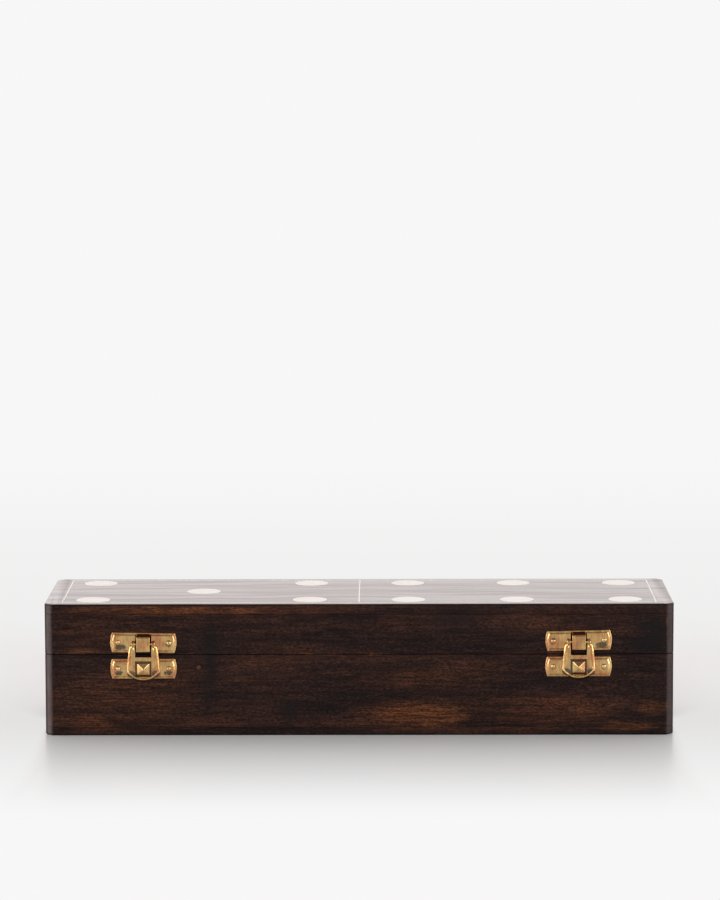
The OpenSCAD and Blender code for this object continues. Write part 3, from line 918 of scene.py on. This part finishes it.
def waver(piece, name):
    """Cuts a board across its length and lets its faces stray a little inwards."""
    wood = bpy.context.scene.domino_wood
    only(piece)
    with editing():
        slice_along(*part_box(name), BOARD_SLICES)
    clouds = bpy.data.textures.new(name + " waver", "CLOUDS")
    clouds.noise_scale = WAVER_SIZE
    clouds.noise_depth = 1
    stray = piece.modifiers.new("waver", "DISPLACE")
    stray.texture = clouds
    stray.texture_coords = "LOCAL"
    stray.strength = wood.hand_waviness
    stray.mid_level = 1.0
    return apply_all(piece)


def inlay_pockets():
    """The cutters for the pips' and lines' pockets, a hair wider than the inlay."""
    room = Vector((POCKET_ROOM, POCKET_ROOM, 0))
    for name in PIPS + LINES:
        low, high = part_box(name)
        middle = (low + high) / 2
        if name in LINES:
            yield add_block(low - room, high + room + Vector((0, 0, 1 * MM)))
            continue
        clear_selection()
        bpy.ops.mesh.primitive_cylinder_add(
            vertices=PIP_SIDES, radius=(high.x - low.x) / 2 + room.x, depth=2 * (high.z - low.z),
            location=(middle.x, middle.y, high.z),
        )
        yield settled()


def finish_board(piece, name):
    """Gives each face its finish by its place: outside, top, end grain or inside."""
    finishes = (stained_wood(), polished_wood(), end_grain(), inside_wood())
    outside, top, end, inside = range(len(finishes))
    low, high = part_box(name)
    wall = BASE_HIGH.y - BASE_LOW.y
    inner_x, inner_y = HALF_LENGTH - wall + 0.1 * MM, HALF_DEPTH - wall + 0.1 * MM
    lowest, highest = low.z - 1 * MM, high.z + 1 * MM
    if name == "lid_top_board":
        highest = low.z + 0.3 * MM
    if name == "base_bottom_board":
        lowest = high.z - 0.3 * MM
    put_on(piece, name, "lid" if name in LID_BOARDS else "base", "dark_wood", *finishes)
    for face in piece.data.polygons:
        middle, normal = face.center, face.normal
        within = abs(middle.x) < inner_x and abs(middle.y) < inner_y
        face.material_index = outside
        if within and lowest < middle.z < highest:
            face.material_index = inside
        elif name == "lid_top_board" and normal.z > 0.35:
            face.material_index = top
        elif lengthwise(name) and abs(normal.x) > 0.8:
            face.material_index = end
    marks = piece.data.attributes.new("board", "FLOAT", "POINT")
    for mark in marks.data:
        mark.value = (LID_BOARDS + BASE_BOARDS).index(name)


class DOMINO_OT_boards(bpy.types.Operator):
    """Build the ten boards of the lid and the base"""

    bl_idname = "domino.boards"
    bl_label = "Wooden boards"

    def execute(self, context):
        for name in LID_BOARDS + BASE_BOARDS:
            piece = waver(shaped_board(name), name)
            if name == "lid_top_board":
                for cutter in inlay_pockets():
                    cut(piece, cutter)
            even_shading(piece, name)
            finish_board(piece, name)
        return {"FINISHED"}


# Inlay


class DOMINO_OT_pips(bpy.types.Operator):
    """Build one inlaid pip and copy it to its eleven places"""

    bl_idname = "domino.pips"
    bl_label = "Inlaid pips"

    def execute(self, context):
        inlay = context.scene.domino_inlay
        low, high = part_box(PIPS[0])
        radius, height = (high.x - low.x) / 2, high.z - low.z
        clear_selection()
        bpy.ops.mesh.primitive_cylinder_add(vertices=PIP_SIDES, radius=radius, depth=height)
        model = bpy.context.object
        with editing():
            pick("FACE", lambda middle, normal: normal.z > 0.99)
            bpy.ops.mesh.inset(thickness=radius * 0.35)
            for share in (0.3, 0.5):
                bpy.ops.mesh.inset(thickness=radius * 0.2, depth=-inlay.pip_hollow * share)
        soften(model, inlay.rim_softness, 3, 40)
        for name in PIPS:
            low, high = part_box(name)
            piece = copy_of(model)
            move(piece, Matrix.Translation((low + high) / 2))
            put_on(piece, name, "lid", "bone_inlay", bone())
        bpy.data.objects.remove(model)
        return {"FINISHED"}


class DOMINO_OT_lines(bpy.types.Operator):
    """Build the five inlaid lines"""

    bl_idname = "domino.lines"
    bl_label = "Inlaid lines"

    def execute(self, context):
        inlay = context.scene.domino_inlay
        for name in LINES:
            low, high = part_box(name)
            piece = add_block(low, high)
            with editing():
                slice_along(low, high, LINE_SLICES)
            soften(piece, inlay.rim_softness, 2, 40)
            put_on(piece, name, "lid", "bone_inlay", bone())
        return {"FINISHED"}


# Latches


def latch_middle(side):
    """The latch's middle along X, and the height of the seam as the latch sees it."""
    low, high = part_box(side + "_latch_pin")
    return (low.x + high.x) / 2, (low.z + high.z) / 2 - bpy.context.scene.domino_brass.pin_rise


def at_latch(side):
    return on_front(*latch_middle(side))


def plate_middles(brass):
    """The heights of the lid plate's and the catch plate's middles above the seam."""
    half = brass.plate_height / 2
    return brass.lid_plate_rise + half, -brass.catch_plate_drop - half


def plate_blank():
    """A stamped plate with bowed ends and a raised, slightly domed panel."""
    brass = bpy.context.scene.domino_brass
    half = brass.plate_height / 2
    bulge = brass.plate_bulge
    radius = (half * half + bulge * bulge) / (2 * bulge)
    piece = add_disc(radius, brass.plate_length / 2 - radius, 0)
    with editing():
        trim((0, 0, 0), (-1, 0, 0))
        trim((0, half, 0), (0, 1, 0))
        trim((0, -half, 0), (0, -1, 0))
    mirror = piece.modifiers.new("other end", "MIRROR")
    mirror.merge_threshold = 0.00001
    apply_all(piece)
    with editing():
        bpy.ops.mesh.select_all(action="SELECT")
        bpy.ops.mesh.dissolve_limited(angle_limit=math.radians(0.2))
        pick("FACE", lambda middle, normal: True)
        sheet, border, slope = brass.plate_sheet, brass.plate_border, brass.panel_slope
        extrude(0, 0, sheet * 0.4)
        tidy_faces()
        pick("FACE", lambda middle, normal: normal.z > 0.99)
        panel = sheet + brass.panel_rise
        press((0, 0, 0), brass.plate_length / 2, half, (
            (0, sheet * 0.4), (border * 0.08, sheet * 0.7), (border * 0.25, sheet * 0.92),
            (border * 0.45, sheet), (border * 0.62, sheet * 0.92), (border * 0.75, sheet * 0.72),
            (border, sheet * 0.7), (border + slope * 0.2, sheet * 0.85),
            (border + slope * 0.7, panel * 0.85), (border + slope, panel * 0.93),
            (border + slope * 1.6, panel * 0.965), (border + slope * 4, panel),
        ))
    return piece


def bent_strip(path, width, sheet):
    """A strip of sheet, bent along a side view given as pairs of height and distance out."""
    clear_selection()
    start, following = Vector((0, *path[0])), Vector((0, *path[1]))
    step = following - start
    bpy.ops.mesh.primitive_plane_add(
        size=1, location=(start + following) / 2, rotation=(math.atan2(step.z, step.y), 0, 0)
    )
    piece = bpy.context.object
    piece.scale = (width, step.length, 1)
    settled()
    with editing():
        last = following
        pick("EDGE", lambda middle, way: abs(way.x) > 0.99 and (middle - last).length < 0.00002)
        for point in path[2:]:
            following = Vector((0, *point))
            extrude(*(following - last))
            last = following
        tidy_faces()
    solid = piece.modifiers.new("sheet", "SOLIDIFY")
    solid.thickness = sheet
    solid.offset = 0
    solid.use_even_offset = True
    return apply_all(piece)


def latch_tab():
    """The tab: a slope out of the lid plate, a flat apron and a rolled foot, with the knuckle behind."""
    brass = bpy.context.scene.domino_brass
    half = brass.tab_sheet / 2
    out = brass.pin_out + brass.knuckle_radius - half
    root = brass.lid_plate_rise + brass.plate_height - brass.plate_border * 0.75
    bend = brass.tab_bend - 0.16 * MM
    foot = brass.tab_foot + brass.tab_sheet
    path = (
        (root, 0.1 * MM), (bend + 0.26 * MM, out - 0.52 * MM), (bend + 0.12 * MM, out - 0.22 * MM),
        (bend - 0.08 * MM, out - 0.05 * MM), (bend - 0.35 * MM, out), (foot, out),
    )
    tab = soften(bent_strip(path, brass.tab_width, brass.tab_sheet), 0.2 * MM, 4, 50)
    roll = add_rod(brass.tab_sheet, brass.tab_width, (0, foot, out + half - brass.tab_sheet))
    soften(roll, 0.15 * MM, 3, 40)
    knuckle = add_rod(brass.knuckle_radius, brass.tab_width, (0, brass.pin_rise, brass.pin_out))
    soften(knuckle, 0.12 * MM, 2, 40)
    return join(tab, roll, knuckle)


class DOMINO_OT_lid_plates(bpy.types.Operator):
    """Build the two upper latch plates with their tabs and knuckles"""

    bl_idname = "domino.lid_plates"
    bl_label = "Lid plates"

    def execute(self, context):
        brass = context.scene.domino_brass
        for side, lean in (("left", brass.left_lean), ("right", brass.right_lean)):
            plate = plate_blank()
            lid, catch = plate_middles(brass)
            move(plate, Matrix.Translation((0, lid, 0)) @ Matrix.Rotation(lean, 4, "Z"))
            notch = brass.tab_width / 2 + brass.tab_slot
            root = brass.lid_plate_rise + brass.plate_height - brass.plate_border
            cut(plate, add_block((-notch, -5 * MM, -1 * MM), (notch, root, 3 * MM)))
            soften(plate, brass.softness, 2, 55)
            join(plate, latch_tab())
            move(plate, at_latch(side))
            put_on(plate, side + "_lid_plate", "lid", "aged_brass", latch_brass(side))
        return {"FINISHED"}


class DOMINO_OT_catch_plates(bpy.types.Operator):
    """Build the two lower latch plates with their pyramid studs"""

    bl_idname = "domino.catch_plates"
    bl_label = "Catch plates"

    def execute(self, context):
        brass = context.scene.domino_brass
        x, y = brass.stud_width / 2, brass.stud_height / 2
        panel = brass.plate_sheet + brass.panel_rise
        stud = add_block((-x, -y, 0), (x, y, panel + brass.stud_side))
        with editing():
            pick("FACE", lambda middle, normal: normal.z > 0.99)
            extrude(0, 0, brass.stud_point)
            bpy.ops.mesh.merge(type="CENTER")
            tidy_faces()
        soften(stud, 0.3 * MM, 4, 20)
        model = join(soften(plate_blank(), brass.softness, 2, 55), stud)
        for side in SIDES:
            piece = copy_of(model)
            lid, catch = plate_middles(brass)
            move(piece, at_latch(side) @ Matrix.Translation((0, catch, 0)))
            put_on(piece, side + "_catch_plate", "base", "aged_brass", latch_brass(side))
        bpy.data.objects.remove(model)
        return {"FINISHED"}


def hasp_blank():
    """The hasp: a disc cut to tapering sides, with round lower corners and a raised edge."""
    brass = bpy.context.scene.domino_brass
    rise = brass.pin_rise
    foot = brass.hasp_foot_width / 2
    eye = brass.tab_width / 2 + brass.tab_slot + brass.eye_width
    corners = (
        (foot, -brass.hasp_drop + FOOT_CORNER_RISE), (brass.hasp_waist_width / 2, rise - WAIST_BELOW_PIN),
        (brass.hasp_shoulder_width / 2, rise - SHOULDER_BELOW_PIN), (eye, rise),
    )
    piece = add_disc(brass.hasp_foot_radius, 0, brass.hasp_foot_radius - brass.hasp_drop, 96)
    with editing():
        trim((0, rise, 0), (0, 1, 0))
        for s in (-1, 1):
            for (xa, ya), (xb, yb) in zip(corners, corners[1:]):
                trim((s * xa, ya, 0), (s * (yb - ya), xa - xb, 0))
        widest = max(vert.co.x for vert in bmesh.from_edit_mesh(piece.data).verts)
        pick("VERT", lambda co: near(abs(co.x), widest, 0.001 * MM))
        bpy.ops.mesh.bevel(offset=FOOT_CORNER_ROUND, segments=8, affect="VERTICES")
        pick("FACE", lambda middle, normal: True)
        sheet, rim, lift = brass.hasp_sheet, brass.hasp_rim, brass.hasp_rim_rise
        extrude(0, 0, sheet * 0.5)
        tidy_faces()
        pick("FACE", lambda middle, normal: normal.z > 0.99)
        press((0, (rise - brass.hasp_drop) / 2, 0), foot, (rise + brass.hasp_drop) / 2, (
            (0, sheet * 0.5), (rim * 0.05, sheet * 0.70), (rim * 0.20, sheet * 0.92),
            (rim * 0.40, sheet + lift * 0.35), (rim * 0.58, sheet + lift * 0.72),
            (rim * 0.75, sheet + lift * 0.94), (rim * 0.90, sheet + lift), (rim * 1.05, sheet + lift * 0.86),
            (rim * 1.18, sheet + lift * 0.45), (rim * 1.28, sheet), (rim * 1.42, sheet - lift * 0.3),
            (rim * 1.56, sheet - lift * 0.25), (rim * 1.72, sheet + lift * 0.2),
            (rim * 1.9, sheet + lift * 0.3), (rim * 2.7, sheet + lift * 0.05),
        ))
    return piece


class DOMINO_OT_hasps(bpy.types.Operator):
    """Build the two windowed hasps"""

    bl_idname = "domino.hasps"
    bl_label = "Hasps"

    def execute(self, context):
        brass = context.scene.domino_brass
        half = brass.window_width / 2
        top = -brass.bar_drop - brass.bar_height
        bottom = -brass.hasp_drop + brass.foot_strip
        arm = brass.tab_width / 2 + brass.tab_slot
        model = hasp_blank()
        cut(model, add_block((-half, bottom, -1 * MM), (half, top, 3 * MM)))
        cut(model, add_block((-arm, -brass.bar_drop, -1 * MM), (arm, brass.pin_rise + 3 * MM, 3 * MM)))
        soften(model, 0.14 * MM, 3, 55)
        move(model, Matrix.Translation((0, 0, brass.hasp_back)))
        for s in (-1, 1):
            place = (s * (arm + brass.eye_width / 2), brass.pin_rise, brass.pin_out)
            join(model, soften(add_rod(EYE_RADIUS, brass.eye_width, place), 0.4 * MM, 5, 40))
        for side in SIDES:
            piece = copy_of(model)
            move(piece, at_latch(side))
            put_on(piece, side + "_hasp", side + "_hasp", "aged_brass", latch_brass(side))
        bpy.data.objects.remove(model)
        return {"FINISHED"}


def rod_with_round_ends(node):
    """A pin along X at its CAD place, with rounded ends."""
    low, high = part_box(node)
    radius = (high.z - low.z) / 2
    piece = add_rod(radius, high.x - low.x, (low + high) / 2, 32)
    return soften(piece, radius * 0.55, 4, 40)


class DOMINO_OT_latch_pins(bpy.types.Operator):
    """Build the pins of the latches and the back hinges"""

    bl_idname = "domino.latch_pins"
    bl_label = "Pins"

    def execute(self, context):
        for side in SIDES:
            pin = rod_with_round_ends(side + "_latch_pin")
            put_on(pin, side + "_latch_pin", "lid", "aged_brass", latch_brass(side))
            pin = rod_with_round_ends(side + "_hinge_pin")
            put_on(pin, side + "_hinge_pin", "base", "aged_brass", hinge_brass())
        return {"FINISHED"}


# Nails


def nail_model(shank):
    """A nail with a low domed head, standing on its plate at Z = 0."""
    brass = bpy.context.scene.domino_brass
    r, dome = brass.nail_head / 2, brass.nail_dome
    radius = (r * r + dome * dome) / (2 * dome)
    clear_selection()
    middle = (0, 0, dome - radius)
    bpy.ops.mesh.primitive_uv_sphere_add(segments=32, ring_count=48, radius=radius, location=middle)
    settled()
    with editing():
        trim((0, 0, 0), (0, 0, -1))
        pick("EDGE", lambda middle, way: near(middle.z, 0, 0.001 * MM))
        bpy.ops.mesh.edge_face_add()
        pick("FACE", lambda middle, normal: near(middle.z, 0, 0.001 * MM))
        bpy.ops.mesh.inset(thickness=r - brass.nail_shank / 2)
        extrude(0, 0, -shank)
        tidy_faces()
    return soften(bpy.context.object, 0.05 * MM, 2, 40)


def nail_pair(model, spacing, matrix):
    offsets = (Matrix.Translation((s * spacing / 2, 0, 0)) for s in (-1, 1))
    return join(*[move(copy_of(model), matrix @ offset) for offset in offsets])


class DOMINO_OT_nails(bpy.types.Operator):
    """Build one nail and copy it to the plates and the hinge leaves"""

    bl_idname = "domino.nails"
    bl_label = "Nails"

    def execute(self, context):
        brass = context.scene.domino_brass
        panel = brass.plate_sheet + brass.panel_rise
        model = nail_model(brass.nail_depth + panel)
        leaf_model = nail_model(brass.nail_depth + brass.leaf_sheet)
        lid, catch = plate_middles(brass)
        for side, lean in (("left", brass.left_lean), ("right", brass.right_lean)):
            place = at_latch(side) @ Matrix.Translation((0, lid, panel)) @ Matrix.Rotation(lean, 4, "Z")
            nails = nail_pair(model, brass.nail_spacing, place)
            put_on(nails, side + "_lid_plate_nails", "lid", "aged_brass", nail_brass())
            place = at_latch(side) @ Matrix.Translation((0, catch, panel))
            nails = nail_pair(model, brass.nail_spacing, place)
            put_on(nails, side + "_catch_plate_nails", "base", "aged_brass", nail_brass())
            for body, up in (("lid", 1), ("base", -1)):
                place = at_hinge(side) @ Matrix.Translation((0, up * brass.leaf_nail_rise, brass.leaf_sheet))
                nails = nail_pair(leaf_model, brass.leaf_nail_spacing, place)
                node = f"{side}_hinge_{body}_nails"
                put_on(nails, node, body, "aged_brass", hinge_brass())
        bpy.data.objects.remove(model)
        bpy.data.objects.remove(leaf_model)
        return {"FINISHED"}


# Back hinges


def at_hinge(side):
    low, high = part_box(side + "_hinge_pin")
    return on_back((low.x + high.x) / 2, SEAM)


def hinge_leaf(up):
    """A leaf above the barrel (up = 1) or below it (up = -1), with its own knuckles."""
    brass = bpy.context.scene.domino_brass
    low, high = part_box("left_hinge_pin")
    width = high.x - low.x
    out = (low.y + high.y) / 2 - HALF_DEPTH
    pitch = width / LEAF_KNUCKLES
    own = 1 if up > 0 else 0
    x = width / 2
    edge = up * brass.leaf_height
    leaf = add_block((-x, min(0, edge), 0), (x, max(0, edge), brass.leaf_sheet))
    with editing():
        pick("EDGE", lambda middle, way: abs(way.z) > 0.99 and near(middle.y, edge))
        bpy.ops.mesh.bevel(offset=LEAF_CORNER, segments=6)
    gap = brass.knuckle_gap
    places = [((i - LEAF_KNUCKLES // 2) * pitch, 0, out) for i in range(LEAF_KNUCKLES)]
    for place in places[1 - own::2]:
        cut(leaf, add_rod(brass.barrel_radius + gap, pitch + gap, place))
    soften(leaf, 0.16 * MM, 3, 35)
    knuckles = [add_rod(brass.barrel_radius, pitch - gap, place) for place in places[own::2]]
    return join(leaf, *(soften(knuckle, 0.18 * MM, 3, 40) for knuckle in knuckles))


class DOMINO_OT_hinges(bpy.types.Operator):
    """Build the leaves of the two back hinges"""

    bl_idname = "domino.hinges"
    bl_label = "Back hinges"

    def execute(self, context):
        for half, up in (("lid", 1), ("base", -1)):
            model = hinge_leaf(up)
            for side in SIDES:
                piece = copy_of(model)
                move(piece, at_hinge(side))
                node = f"{side}_hinge_{half}_leaf"
                put_on(piece, node, half, "aged_brass", hinge_brass())
            bpy.data.objects.remove(model)
        return {"FINISHED"}


# Stage


CAMERA_PLACE = (8.95 * MM, -1512 * MM, 290 * MM)
CAMERA_YAW = 0.325
CAMERA_DOWN = 6.705
CAMERA_ROLL = -0.135
CAMERA_LENS = 148.6
LAMP_ELEVATION = 23
LAMP_AZIMUTH = 37
LAMP_SPREAD = 28
BACK_TINT = (1.0, 0.925, 0.91)
FLOOR_TINT = (1.0, 0.985, 0.98)
# Painted shade: the floor's glowing grey near the box.
FLOOR_SHADE_BY_BOX = (0.760, 0.750, 0.747)


def grey(level):
    return (level, level, level)


def studio_world(studio):
    """A pale surround for the camera, and soft light that is brightest near the horizon."""
    world = bpy.data.worlds.new("studio")
    world.use_nodes = True
    graph = Graph(world.node_tree)
    x, y, z = graph.given("TexCoord", "Generated").parts()
    back = tuple(studio.back_light * share for share in BACK_TINT)
    light = graph.mix(y.rise(-0.35, 0.35), grey(studio.front_light), back)
    panels = abs(x).rise(0.84, 0.97) * z.fall(0.35, 0.60) * studio.side_light
    light = graph.mix(1.0, light, panels, "ADD")
    ceiling = (y.rise(-0.1, 0.5) * 1.2 + 0.85) * studio.ceiling_light
    light = graph.mix(z.rise(0.40, 0.75), light, ceiling)
    level = graph.mix(graph.given("LightPath", "Is Camera Ray"), light, grey(studio.background))
    graph.put(world.node_tree.nodes["Background"].inputs["Color"], level)
    bpy.context.scene.world = world


def mirror_edge(graph, studio, place):
    """0 where the floor shows the box's blurred mirror image, 1 where it shows its glowing grey with painted
    shade.
    """
    x, y, z = place.parts()
    before = -HALF_DEPTH - y
    ahead = graph.most(before, 0.0)
    after = graph.most(y, 0.0)
    beside = abs(x) - HALF_LENGTH + ahead * (HALF_LENGTH / studio.mirror_reach)
    blur = ahead * 0.08 + (after * 0.6 + 1.5 * MM)
    return graph.most(
        (beside / blur).rise(-0.8, 1.6) * 0.96, beside.rise(0.0, 0.16), before.rise(-36 * MM, 164 * MM),
        y.rise(HALF_DEPTH + 20 * MM, HALF_DEPTH + 260 * MM),
    )


def studio_floor(studio):
    """A pale glossy floor that holds the box's blurred mirror image and fades, past painted shade, into the
    background.
    """
    clear_selection()
    bpy.ops.mesh.primitive_plane_add(size=12, location=(0, 0, 0))
    floor = bpy.context.object
    floor.name = "floor"
    material, graph, place = new_material("floor")
    shader = material.node_tree.nodes["Principled BSDF"]
    graph.put(shader.inputs["Base Color"], tuple(studio.floor_shade * share for share in FLOOR_TINT))
    graph.put(shader.inputs["Roughness"], graph.noise(place, 3.0, 2.0) * 0.05 + 0.55)
    for name, level in (("Coat Weight", 1.0), ("Coat Roughness", 0.28), ("Coat IOR", 1.5)):
        shader.inputs[name].default_value = level
    x, y, z = place.parts()
    # Painted shade: for the camera the floor glows a darker grey in a band along the box, standing in for
    # its shadow.
    painted_shade_band = y.rise(-0.20, 0.04) * (y.rise(-0.01, 0.11) * -0.62 + 1.0) * y.fall(0.2, 1.0)
    level = graph.mix(painted_shade_band, grey(studio.background), FLOOR_SHADE_BY_BOX)
    seen = graph.given("LightPath", "Is Camera Ray")
    blend = graph.fill("MixShader", (
        mirror_edge(graph, studio, place) * seen, Value(graph, shader.outputs[0]),
        graph.fill("Emission", (level,)),
    ))
    graph.put(material.node_tree.nodes["Material Output"].inputs["Surface"], blend)
    floor.data.materials.append(material)


def soft_lamp(name, strength, azimuth):
    """A wide, far-off lamp, placed by its direction seen from above."""
    clear_selection()
    tilt = math.radians(90 - LAMP_ELEVATION)
    bpy.ops.object.light_add(type="SUN", rotation=(tilt, 0, math.radians(azimuth)))
    lamp = bpy.context.object
    lamp.name = name
    lamp.data.energy = strength
    lamp.data.angle = math.radians(LAMP_SPREAD)


def add_camera():
    """A long lens at the photograph's angle."""
    clear_selection()
    bpy.ops.object.camera_add(location=CAMERA_PLACE)
    camera = bpy.context.object
    camera.name = "camera"
    yaw = Matrix.Rotation(math.radians(CAMERA_YAW), 4, "Z")
    pitch = Matrix.Rotation(math.radians(90 - CAMERA_DOWN), 4, "X")
    roll = Matrix.Rotation(math.radians(CAMERA_ROLL), 4, "Z")
    camera.rotation_euler = (yaw @ pitch @ roll).to_euler()
    camera.data.sensor_fit = "VERTICAL"
    camera.data.sensor_height = 36
    camera.data.lens = CAMERA_LENS
    camera.data.clip_end = 50
    bpy.context.scene.camera = camera


class DOMINO_OT_stage(bpy.types.Operator):
    """Set up the floor, the light and the camera"""

    bl_idname = "domino.stage"
    bl_label = "Stage"

    def execute(self, context):
        studio = context.scene.domino_studio
        studio_world(studio)
        studio_floor(studio)
        soft_lamp("left lamp", studio.side_lamps, -LAMP_AZIMUTH)
        soft_lamp("right lamp", studio.side_lamps, LAMP_AZIMUTH)
        add_camera()
        context.scene.view_settings.view_transform = "Standard"
        return {"FINISHED"}


# Panel and start


OPERATORS = (
    DOMINO_OT_boards, DOMINO_OT_pips, DOMINO_OT_lines, DOMINO_OT_lid_plates, DOMINO_OT_catch_plates,
    DOMINO_OT_hasps, DOMINO_OT_latch_pins, DOMINO_OT_nails, DOMINO_OT_hinges, DOMINO_OT_stage,
)


class DOMINO_PT_panel(bpy.types.Panel):
    """Lists the pieces of the box"""

    bl_idname = "DOMINO_PT_panel"
    bl_label = "Domino Box"
    bl_space_type = "VIEW_3D"
    bl_region_type = "UI"
    bl_category = "Domino Box"

    def draw(self, context):
        for operator in OPERATORS:
            self.layout.operator(operator.bl_idname)


SETTINGS = {
    "domino_wood": WoodSettings, "domino_inlay": InlaySettings, "domino_brass": BrassSettings,
    "domino_studio": StudioSettings,
}
CLASSES = (*SETTINGS.values(), *OPERATORS, DOMINO_PT_panel)


def register():
    for item in CLASSES:
        bpy.utils.register_class(item)
    for name, item in SETTINGS.items():
        setattr(bpy.types.Scene, name, bpy.props.PointerProperty(type=item))


def unregister():
    for name in SETTINGS:
        delattr(bpy.types.Scene, name)
    for item in reversed(CLASSES):
        bpy.utils.unregister_class(item)


def main():
    register()
    bpy.ops.domino.boards()
    bpy.ops.domino.pips()
    bpy.ops.domino.lines()
    bpy.ops.domino.lid_plates()
    bpy.ops.domino.catch_plates()
    bpy.ops.domino.hasps()
    bpy.ops.domino.latch_pins()
    bpy.ops.domino.nails()
    bpy.ops.domino.hinges()
    bpy.ops.domino.stage()


if __name__ == "__main__":
    main()
